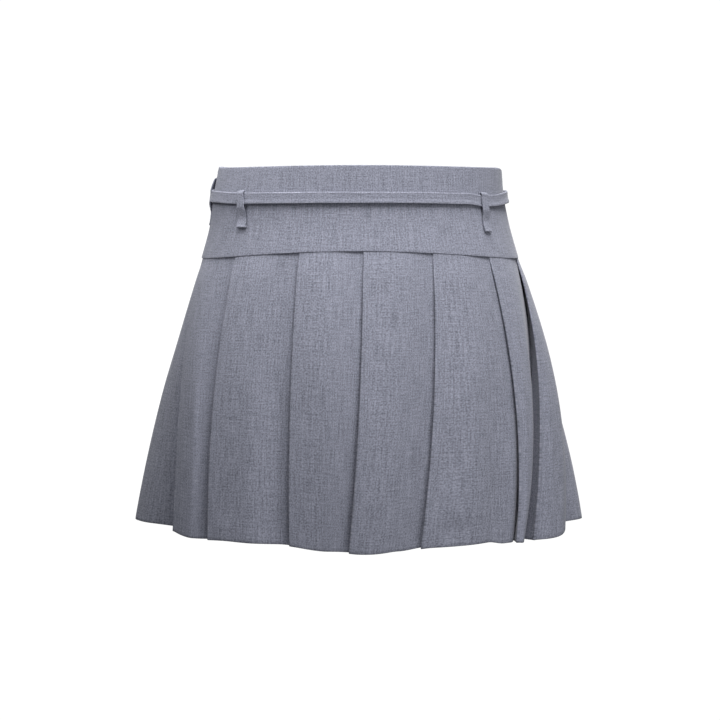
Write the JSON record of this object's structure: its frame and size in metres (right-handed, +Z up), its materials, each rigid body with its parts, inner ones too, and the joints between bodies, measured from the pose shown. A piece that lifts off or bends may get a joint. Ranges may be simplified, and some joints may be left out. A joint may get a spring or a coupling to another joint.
{
  "type": "pleated mini skirt",
  "caption": "Low-rise pleated mini skirt in grey suiting: shaped yoke, knife pleats below the yoke seam, narrow belt in loops and a concealed side zip.",
  "frame": {"origin": "centre of the waist opening, where the wearer holds the skirt up", "axes": "+Z up, the front faces -Y, the wearer's left is +X"},
  "size_m": [0.4484, 0.346, 0.366],
  "materials": {
    "suiting": "matte plain weave of mixed grey yarns with fine slubs",
    "belt_suiting": "the same cloth, folded, pressed and edge stitched",
    "zip_tape": "matte woven polyester tape with a closed coil",
    "zip_metal": "satin lacquered to match the cloth"
  },
  "bodies": {
    "skirt": {"yoke_back": "suiting", "yoke_front": "suiting", "skirt_back": "suiting", "skirt_front": "suiting", "belt": "belt_suiting", "loop_back_left": "belt_suiting", "loop_back_right": "belt_suiting", "loop_side_left": "belt_suiting", "loop_side_right": "belt_suiting", "loop_front_left": "belt_suiting", "loop_front_right": "belt_suiting", "zip_tape": "zip_tape", "zip_slider": "zip_metal"},
    "pull": {"zip_pull": "zip_metal"}
  },
  "joints": [
    {"name": "pull_swing", "type": "hinge", "parent": "skirt", "child": "pull", "pos_m": [0.14084, -0.01788, 0.00064], "axis": [-0.2456, -0.969, -0.0248], "range_deg": [0, 150]}
  ]
}
